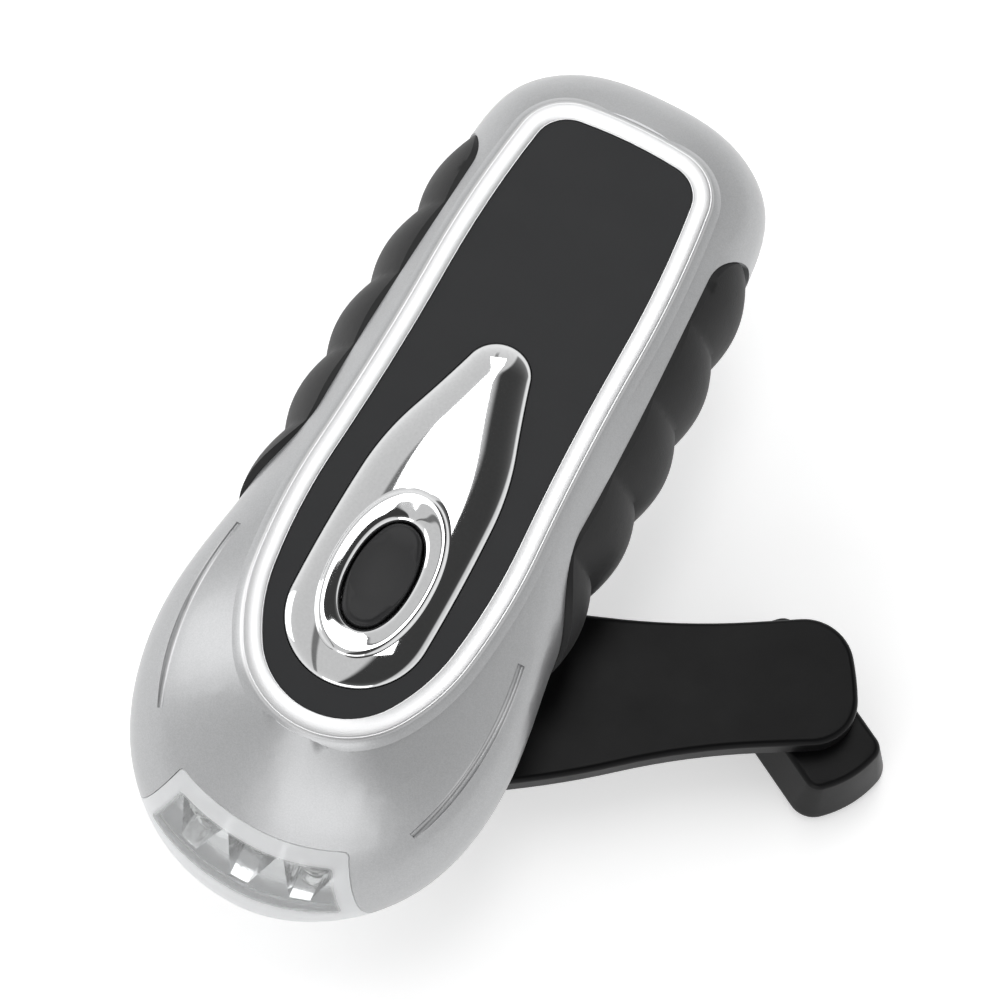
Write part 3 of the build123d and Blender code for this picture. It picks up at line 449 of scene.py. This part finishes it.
def grid_mesh(name, grid, wrap_rows=False, wrap_columns=False, flip=False):
    """Mesh of a grid of points in millimetres from the lamp end: each corner joins its
    neighbour in the row, in the column and across. Points at one place become one."""
    points = grid.reshape(-1, 3) + np.array([0.0, -FOOT_Y, HEEL_DROP])
    index = np.arange(len(points)).reshape(grid.shape[:2])
    across = np.roll(index, -1, axis=1)
    quads = np.stack(
        [index, across, np.roll(across, -1, axis=0), np.roll(index, -1, axis=0)], axis=-1
    )
    quads = quads[: None if wrap_rows else -1, : None if wrap_columns else -1].reshape(-1, 4)
    if flip:
        quads = quads[:, ::-1]
    mesh = bpy.data.meshes.new(name)
    mesh.from_pydata((points * MM).tolist(), [], quads.tolist())
    shape = bmesh.new()
    shape.from_mesh(mesh)
    bmesh.ops.remove_doubles(shape, verts=shape.verts, dist=1e-7)
    bmesh.ops.dissolve_degenerate(shape, dist=1e-8, edges=shape.edges)
    shape.to_mesh(mesh)
    shape.free()
    return mesh


def joined(meshes, name):
    """One mesh of several."""
    shape = bmesh.new()
    for mesh in meshes:
        shape.from_mesh(mesh)
        bpy.data.meshes.remove(mesh)
    whole = bpy.data.meshes.new(name)
    shape.to_mesh(whole)
    shape.free()
    return whole


def add_piece(name, mesh, finish, body, replaces=(), smooth=True, sharp=None):
    """Puts a mesh in the scene as a piece that rides on a body."""
    mesh.polygons.foreach_set("use_smooth", np.full(len(mesh.polygons), smooth))
    mesh.materials.append(finish.material)
    piece = bpy.data.objects.new(name, mesh)
    bpy.context.scene.collection.objects.link(piece)
    if sharp is not None:
        split = piece.modifiers.new("Sharp edges", "EDGE_SPLIT")
        split.split_angle = np.radians(sharp)
    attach(piece, body)
    if replaces:
        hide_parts(*replaces)
    return piece


def soften(node, sharp=28.0):
    """Shades a CAD node's curved faces smoothly and keeps its edges sharp."""
    piece = NODES[node]
    mesh = piece.data
    if "custom_normal" in mesh.attributes:
        mesh.attributes.remove(mesh.attributes["custom_normal"])
    mesh.polygons.foreach_set("use_smooth", np.full(len(mesh.polygons), True))
    weld = piece.modifiers.new("Join facets", "WELD")
    weld.merge_threshold = 1e-6
    split = piece.modifiers.new("Sharp edges", "EDGE_SPLIT")
    split.split_angle = np.radians(sharp)
    even = piece.modifiers.new("Even shading", "WEIGHTED_NORMAL")
    even.weight = 60


def dress(finish, *nodes, sharp=28.0):
    """Gives CAD nodes a finish."""
    for node in nodes:
        soften(node, sharp)
        piece = NODES[node]
        if not piece.material_slots:
            piece.data.materials.append(None)
        for slot in piece.material_slots:
            slot.material = finish.material


def outline(side, grow=0.0, steps=28):
    """Closed outline symmetrical about the Y axis, seen from above. From the front end on
    the axis run arcs, each tangent to the last, through the points of one side, and a last
    arc meets the axis squarely. A point at share t of an arc that turns by T lies in the
    direction of half the turn so far, 2 R sin(T t / 2) away. Each point then moves outwards
    by grow."""
    share = np.arange(steps) / steps
    heading = 0.0
    points = list(side)
    path = []
    for k in range(len(side)):
        if k == len(side) - 1:
            x, y = points[-1]
            points.append((0.0, y + x * np.tan((np.pi - heading) / 2)))
        (ax, ay), (bx, by) = points[k], points[k + 1]
        turn = 2 * (np.arctan2(by - ay, bx - ax) - heading)
        length = np.hypot(bx - ax, by - ay)
        reach = np.sinc(turn * share / 2 / np.pi) / np.sinc(turn / 2 / np.pi) * length * share
        bend, facing = heading + turn * share / 2, heading + turn * share
        x = ax + reach * np.cos(bend) + grow * np.sin(facing)
        y = ay + reach * np.sin(bend) - grow * np.cos(facing)
        path.append(np.stack([x, y], axis=1))
        heading += turn
    right = np.concatenate(path + [np.array([(0.0, points[-1][1] + grow)])])
    return np.concatenate([right, right[-2:0:-1] * np.array([-1.0, 1.0])])


def oval_ring(half_wide, half_long):
    """Egg ring round the button's middle: an ellipse filled out a little at its shoulders."""
    angle = 2 * np.pi * np.arange(RING_POINTS) / RING_POINTS - np.pi / 2
    power = 2 / RING_FULLNESS
    x = half_wide * np.sign(np.cos(angle)) * np.abs(np.cos(angle)) ** power
    y = half_long * np.sign(np.sin(angle)) * np.abs(np.sin(angle)) ** power
    return np.stack([x, RING_Y + y], axis=1)


def edge_distance(points, outline):
    """Distance from each point of a grid to the nearest side of a closed outline."""
    side = np.roll(outline, -1, axis=0) - outline
    away = points[:, :, None, :] - outline
    share = np.clip((away * side).sum(axis=-1) / (side**2).sum(axis=-1), 0.0, 1.0)
    return np.sqrt(((away - share[..., None] * side) ** 2).sum(axis=-1).min(axis=-1))


def radius_at(outline, angle):
    """Distance from the button's middle to an outline in each direction."""
    x, y = outline[:, 0], outline[:, 1] - RING_Y
    turns = np.arctan2(y, x)
    order = np.argsort(turns)
    return np.interp(angle, turns[order], np.hypot(x, y)[order], period=2 * np.pi)


def teardrop(look):
    """Outline of the chrome plate."""
    front = look.front / MM
    side = [
        (0.0, front), (9.3, front + 9.0), (9.15, front + 27.0),
        (7.2, front + 37.3), (4.2, front + 47.0),
    ]
    return outline(side)


def chrome_grid(look):
    """Domed teardrop with an egg ring. Rows run from the plate's lower edge up over the
    dome, which rises as a quarter ellipse with the distance from the edge, over the ring,
    whose height is 1 - |2w - 1|^5 across its width w, and down the button's well."""
    outer = teardrop(look)
    angle = np.arctan2(outer[:, 1] - RING_Y, outer[:, 0])
    turned = np.stack([np.cos(angle), np.sin(angle)], axis=1)
    centre = np.array([0.0, RING_Y])
    ring = centre + turned * radius_at(oval_ring(*RING_HALVES), angle)[:, None]
    well = centre + turned * radius_at(oval_ring(*WELL_HALVES), angle)[:, None]

    share = np.linspace(0, 1, 40)[:, None, None] ** 1.7
    plate = outer + (ring - outer) * share
    rim = np.clip(edge_distance(plate, outer) / (look.shoulder / MM), 0.0, 1.0)
    rise = look.dome / MM
    height = rise * np.sqrt(1 - (1 - rim) ** 2)

    across = np.linspace(0, 1, 26)[1:, None, None]
    band = ring + (well - ring) * across
    bead = 1 - np.abs(2 * across[:, :, 0] - 1) ** 5
    ring_height = height[-1] * (1 - across[:, :, 0]) + across[:, :, 0] * 0.5 * rise
    ring_height = ring_height + look.ring / MM * bead

    flat = np.concatenate([outer[None], plate, band, well[None], outer[None]])[:-1]
    low = np.full((1, len(outer)), -look.depth / MM)
    heights = np.concatenate([low, height, ring_height, low])
    ground = crown_height(flat[:, :, 1]) - PANEL_SUNK
    return np.concatenate([flat, (ground + heights)[:, :, None]], axis=2)


def ridge_grid(look):
    """Ridge round the panel, which the silver finish lightens with its painted highlight. Its
    section, of distance out from the panel against height over the crown, is flat on top and
    falls away outside in a soft slope."""
    front, rear = RIDGE_FRONT, RIDGE_REAR
    side = [
        (0.0, front), (8.9, front + 4.9), (12.4, front + 14.4), (13.05, front + 31.0),
        (12.3, rear - 27.0), (10.95, rear - 4.4), (6.9, rear - 0.4),
    ]
    slope = np.linspace(0.0, 1.0, 7)
    wide = look.ridge / MM
    out = np.concatenate([[0.15, 0.15, 0.19, 0.3], wide - 0.3 + RIDGE_RUN_OUT * slope, [wide]])
    fall = -RIDGE_FALL * slope**1.6
    high = np.concatenate([[-1.0, -0.12, 0.0, 0.04], 0.04 + fall, [-1.3]])
    rows = []
    for far, rise in zip(out, high):
        flat = outline(side, far, 20)
        level = crown_height(flat[:, 1]) + rise
        rows.append(np.concatenate([flat, level[:, None]], axis=1))
    return np.stack(rows)


def cell_grid(x):
    """One mirrored cell. Six corners round the section, joined by straight sides, move from
    the flange to the mouth and in to the throat round the lamp, and back outside. The front
    follows the casing's nose, which leans back and bows on an arc.
    The flanges of the outer two reach out to the sides of the lens."""
    left, right = -CELL_HALF - CELL_REACH * (x < 0), CELL_HALF + CELL_REACH * (x > 0)
    flange = [(left, 13.1), (left, 8.8), (left, 4.2), (right, 4.2), (right, 8.8), (right, 13.1)]
    mouth = [(-3.5, 12.7), (-3.5, 8.9), (-1.2, 4.9), (1.2, 4.9), (3.5, 8.9), (3.5, 12.7)]
    throat = [(-3.0, 11.3), (-3.0, 8.6), (-1.5, 5.5), (1.5, 5.5), (3.0, 8.6), (3.0, 11.3)]
    share = np.arange(6)[:, None] / 6
    rows = []
    for corners, back in ((flange, 0.0), (mouth, 0.0), (throat, 1.0), (flange, 1.0)):
        start = np.array(corners)[:, None, :]
        side = np.roll(np.array(corners), -1, axis=0)[:, None, :] - start
        spots = (start + side * share).reshape(-1, 2)
        bow = NOSE_BOW - np.sqrt(NOSE_BOW**2 - (x + spots[:, 0]) ** 2)
        front = -NOSE_SET + NOSE_LEAN * spots[:, 1] + bow
        deep = front + back * (REFLECTOR_BACK - front)
        rows.append(np.stack([x + spots[:, 0], deep, spots[:, 1]], axis=1))
    return np.stack(rows)


# ---- settings ----
def colour_setting(name, description, default):
    return FloatVectorProperty(
        name=name, description=description, default=default, subtype="COLOR", min=0.0, max=1.0
    )


def length_setting(name, description, default):
    return FloatProperty(
        name=name, description=description, default=default, unit="LENGTH", subtype="DISTANCE"
    )


def share_setting(name, description, default):
    return FloatProperty(name=name, description=description, default=default, subtype="FACTOR")


class FLASHLIGHT_PG_casing(bpy.types.PropertyGroup):
    colour: colour_setting("Silver", "Colour of the lacquer", (0.42, 0.424, 0.43))
    metallic: share_setting("Metallic", "Share of metal flake", 0.72)
    roughness: share_setting("Roughness", "Spread of the lacquer's gloss", 0.33)
    ridge: length_setting("Ridge", "Width of the ridge round the panel", 2.5 * MM)
    # Share of the painted highlight: how far the ridge and the cheeks' grooves are lightened in
    # place of their reflection
    painted_highlight: share_setting("Shine", "How far the ridge is brighter than the rest", 0.5)


class FLASHLIGHT_PG_dark(bpy.types.PropertyGroup):
    grip: colour_setting("Grip", "Colour of the side rubbers", (0.013, 0.013, 0.0135))
    panel: colour_setting("Panel", "Colour of the top panel", (0.028, 0.0285, 0.03))
    button: colour_setting("Button", "Colour of the push button", (0.024, 0.024, 0.025))
    crank: colour_setting("Crank", "Colour of the arm and the knob", (0.004, 0.004, 0.0043))


class FLASHLIGHT_PG_chrome(bpy.types.PropertyGroup):
    front: length_setting("Front", "Distance of the plate from the lamp end", 24.3 * MM)
    dome: length_setting("Dome", "Rise of the plate over the panel", 1.4 * MM)
    shoulder: length_setting("Shoulder", "Width over which the plate rises", 8.4 * MM)
    ring: length_setting("Ring", "Rise of the egg ring over the plate", 0.5 * MM)
    depth: length_setting("Depth", "How far the plate is let into the panel", 1.0 * MM)
    roughness: share_setting("Roughness", "Haze of the plating", 0.035)


class FLASHLIGHT_PG_lamp(bpy.types.PropertyGroup):
    colour: colour_setting("Lens", "Tint of the clear lens", (0.97, 0.98, 0.98))
    frost: share_setting("Frost", "Roughness of the frosted bands", 0.45)
    haze: share_setting("Haze", "How milky the frosted bands are", 0.78)


class FLASHLIGHT_PG_stage(bpy.types.PropertyGroup):
    floor: colour_setting("Floor", "Colour of the floor", (0.93, 0.93, 0.93))
    glow: FloatProperty(name="Glow", description="Light given off by the floor", default=0.42)
    key: FloatProperty(name="Key", description="Power of the large soft light", default=3.0)
    room: FloatProperty(name="Room", description="Brightness of the surroundings", default=1.1)


# ---- operators ----
class FLASHLIGHT_OT_stage(bpy.types.Operator):
    """Lays the floor, hangs the soft lights and sets up the camera"""

    bl_idname = "flashlight.stage"
    bl_label = "Stage"

    def execute(self, context):
        look = context.scene.flashlight_stage
        scene = context.scene
        scene.view_settings.view_transform = "Standard"
        self.add_floor(look)
        self.add_room(scene, look)
        self.add_lights(look)
        self.add_camera(scene)
        return {"FINISHED"}

    def add_floor(self, look):
        half = 4.0
        level = CAD_BOX[0][2] - 0.1 * MM
        mesh = bpy.data.meshes.new("floor")
        sides = ((-half, -half), (half, -half), (half, half), (-half, half))
        corners = [(x, y, level) for x, y in sides]
        mesh.from_pydata(corners, [], [(0, 1, 2, 3)])
        finish = Finish(
            "floor", Roughness=0.8, Emission_Color=(1, 1, 1, 1), Emission_Strength=look.glow
        )
        finish.feed(
            Base_Color=finish.blend(finish.noise(0.3), tone(look.floor, 0.99), tuple(look.floor))
        )
        mesh.materials.append(finish.material)
        floor = bpy.data.objects.new("floor", mesh)
        bpy.context.scene.collection.objects.link(floor)

    def add_room(self, scene, look):
        """Surroundings: a bright ceiling, a darker belt half-way up and pale walls."""
        world = bpy.data.worlds.new("studio")
        scene.world = world
        room = Graph(world)
        way = room.node("ShaderNodeTexCoord", output="Generated")
        up = room.along("Z", way)
        side = room.along("X", way)
        card = side.step(0.0, 0.05) * (1 - side.step(0.50, 0.62)) * up.step(0.45, 0.55)
        line = side.step(-0.33, -0.31) * (1 - side.step(-0.28, -0.26)) * up.step(0.6, 0.7)
        level = 0.95 - 0.3 * up.step(0.3, 0.9) - 0.6 * card - 0.45 * line
        background = room.node("ShaderNodeBackground", None, Strength=level * look.room)
        room.node("ShaderNodeOutputWorld", None, background, output=None)

    def add_lights(self, look):
        for name, place, size, share in LIGHTS:
            self.soft_light(name, place, size, share * look.key)

    def soft_light(self, name, place, size, power):
        lamp = bpy.data.lights.new(name, "AREA")
        lamp.shape = "RECTANGLE"
        lamp.size, lamp.size_y = size
        lamp.energy = power
        holder = bpy.data.objects.new(name, lamp)
        bpy.context.scene.collection.objects.link(holder)
        away = Vector(place) - Vector(LIT_SPOT)
        turn = away.to_track_quat("Z", "Y").to_matrix().to_4x4()
        holder.matrix_world = Matrix.Translation(place) @ turn

    def add_camera(self, scene):
        """Camera above the lamp end: its axes come from how far it is turned round the
        object, how high it looks from and how far it is rolled."""
        camera = bpy.data.cameras.new("camera")
        camera.sensor_width = 36.0
        camera.lens = CAMERA_LENS
        camera.clip_start = 0.01
        holder = bpy.data.objects.new("camera", camera)
        scene.collection.objects.link(holder)
        turn, roll = CAMERA_TURN, CAMERA_ROLL
        back = Vector(CAMERA_BACK).normalized()
        right = Vector((np.cos(turn), np.sin(turn), 0.0))
        up = back.cross(right)
        level = np.cos(roll) * right + np.sin(roll) * up
        upright = np.cos(roll) * up - np.sin(roll) * right
        spin = Matrix((level, upright, back)).transposed().to_4x4()
        holder.matrix_world = Matrix.Translation(CAMERA_PLACE) @ spin
        scene.camera = holder


class FLASHLIGHT_OT_casing(bpy.types.Operator):
    """Lacquers the two halves of the casing and lays the ridge round the panel"""

    bl_idname = "flashlight.casing"
    bl_label = "Casing"

    def execute(self, context):
        look = context.scene.flashlight_casing
        finish = silver_paint(look)
        dress(finish, "top_shell", "bottom_shell", sharp=32)
        mesh = grid_mesh("panel_ridge", ridge_grid(look), wrap_rows=True, wrap_columns=True)
        add_piece("panel_ridge", mesh, finish, "casing", sharp=50)
        return {"FINISHED"}


class FLASHLIGHT_OT_dark(bpy.types.Operator):
    """Finishes the rubbers, the panel, the button, the arm and the knob"""

    bl_idname = "flashlight.dark"
    bl_label = "Rubber and dark plastic"

    def execute(self, context):
        look = context.scene.flashlight_dark
        grip = moulded(
            "grip_rubber", look.grip, 0.52, 0.22 * MM, 0.02 * MM, 0.2, Specular_IOR_Level=0.32
        )
        panel = moulded(
            "panel_plastic", look.panel, 0.42, 0.12 * MM, 0.006 * MM, Specular_IOR_Level=0.16
        )
        button = moulded(
            "button_rubber", look.button, 0.4, 0.2 * MM, 0.008 * MM, Specular_IOR_Level=0.25
        )
        crank = moulded(
            "crank_plastic", look.crank, 0.34, 0.18 * MM, 0.006 * MM, Specular_IOR_Level=0.13
        )
        knob = moulded(
            "knob_plastic", look.crank, 0.36, 0.18 * MM, 0.008 * MM, Specular_IOR_Level=0.15
        )
        dress(grip, "grip_left", "grip_right", sharp=40)
        dress(panel, "top_panel")
        dress(button, "button", sharp=40)
        dress(crank, "crank_arm")
        dress(knob, "knob")
        return {"FINISHED"}


class FLASHLIGHT_OT_chrome(bpy.types.Operator):
    """Makes the domed chrome plate with its egg ring"""

    bl_idname = "flashlight.chrome"
    bl_label = "Chrome plate"

    def execute(self, context):
        look = context.scene.flashlight_chrome
        finish = metal("bezel_chrome", (0.93, 0.935, 0.94), look.roughness, grain=0.4 * MM)
        mesh = grid_mesh("chrome_plate", chrome_grid(look), wrap_rows=True, wrap_columns=True)
        add_piece(
            "chrome_plate", mesh, finish, "casing", replaces=("bezel",), sharp=50
        )
        return {"FINISHED"}


class FLASHLIGHT_OT_lamp(bpy.types.Operator):
    """Finishes the lens, the mirrored cells and the three lamps"""

    bl_idname = "flashlight.lamp"
    bl_label = "Lens and lamps"

    def execute(self, context):
        look = context.scene.flashlight_lamp
        dress(clear_lens(look), "front_lens", sharp=35)
        cells = [
            grid_mesh("cell", cell_grid(x), wrap_rows=True, wrap_columns=True)
            for x in (-LAMP_PITCH, 0.0, LAMP_PITCH)
        ]
        add_piece(
            "reflector_cells", joined(cells, "reflector_cells"), mirror_facets(), "casing",
            replaces=("reflector",), smooth=False,
        )
        dress(led_resin(), "led_left", "led_center", "led_right", sharp=40)
        return {"FINISHED"}


class FLASHLIGHT_OT_metal(bpy.types.Operator):
    """Finishes the shafts, screws, washer and bush"""

    bl_idname = "flashlight.metal"
    bl_label = "Metal parts"

    def execute(self, context):
        for name, colour, roughness, stretch, grain, depth, nodes in METALS:
            dress(metal(name, colour, roughness, stretch, grain * MM, depth * MM), *nodes)
        return {"FINISHED"}


class FLASHLIGHT_OT_inside(bpy.types.Operator):
    """Finishes the gears, the generator, the cells and the boards"""

    bl_idname = "flashlight.inside"
    bl_label = "Works"

    def execute(self, context):
        for name, colour, roughness, grain, depth, spread, share, nodes in WORKS:
            finish = moulded(
                name, colour, roughness, grain * MM, depth * MM, spread, Metallic=share
            )
            dress(finish, *nodes)
        dress(coil_copper(), "coil")
        dress(circuit_board(), "main_board", "led_board")
        self.sleeves()
        return {"FINISHED"}

    def sleeves(self):
        """Shrunk sleeves of the cells, the diodes and the capacitor, with their bands."""
        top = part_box("battery_cells")[1][2]
        cells = banded(
            "cell_sleeve", (0.03, 0.2, 0.09), (0.6, 0.6, 0.6),
            top - 2 * MM, top - 1 * MM, "Z", 0.35,
        )
        dress(cells, "battery_cells")
        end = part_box("rectifier_diodes")[0][0]
        diodes = banded(
            "diode_plastic", (0.02, 0.02, 0.02), (0.6, 0.6, 0.6),
            end + 0.5 * MM, end + 1.0 * MM, "X", 0.4,
        )
        dress(diodes, "rectifier_diodes")
        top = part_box("capacitor")[1][2]
        capacitor = banded(
            "capacitor_sleeve", (0.02, 0.03, 0.09), (0.65, 0.65, 0.66),
            top - 0.2 * MM, top + 1 * MM, "Z", 0.35,
        )
        dress(capacitor, "capacitor")


class FLASHLIGHT_PT_panel(bpy.types.Panel):
    """Lists the steps and their settings in the sidebar"""

    bl_label = "Hand crank flashlight"
    bl_idname = "FLASHLIGHT_PT_panel"
    bl_space_type = "VIEW_3D"
    bl_region_type = "UI"
    bl_category = "Flashlight"

    def draw(self, context):
        for step, settings in STEPS:
            box = self.layout.box()
            box.operator(step.bl_idname)
            if settings:
                look = getattr(context.scene, settings)
                for name in look.__annotations__:
                    box.prop(look, name)


SETTINGS = {
    "flashlight_casing": FLASHLIGHT_PG_casing,
    "flashlight_dark": FLASHLIGHT_PG_dark,
    "flashlight_chrome": FLASHLIGHT_PG_chrome,
    "flashlight_lamp": FLASHLIGHT_PG_lamp,
    "flashlight_stage": FLASHLIGHT_PG_stage,
}
STEPS = [
    (FLASHLIGHT_OT_stage, "flashlight_stage"),
    (FLASHLIGHT_OT_casing, "flashlight_casing"),
    (FLASHLIGHT_OT_dark, "flashlight_dark"),
    (FLASHLIGHT_OT_chrome, "flashlight_chrome"),
    (FLASHLIGHT_OT_lamp, "flashlight_lamp"),
    (FLASHLIGHT_OT_metal, None),
    (FLASHLIGHT_OT_inside, None),
]
CLASSES = [*SETTINGS.values(), *(step for step, _ in STEPS), FLASHLIGHT_PT_panel]


def register():
    for kind in CLASSES:
        bpy.utils.register_class(kind)
    for name, group in SETTINGS.items():
        setattr(bpy.types.Scene, name, PointerProperty(type=group))


def unregister():
    for name in SETTINGS:
        delattr(bpy.types.Scene, name)
    for kind in reversed(CLASSES):
        bpy.utils.unregister_class(kind)


def main():
    register()
    for step, _ in STEPS:
        family, name = step.bl_idname.split(".")
        getattr(getattr(bpy.ops, family), name)()


if __name__ == "__main__":
    main()
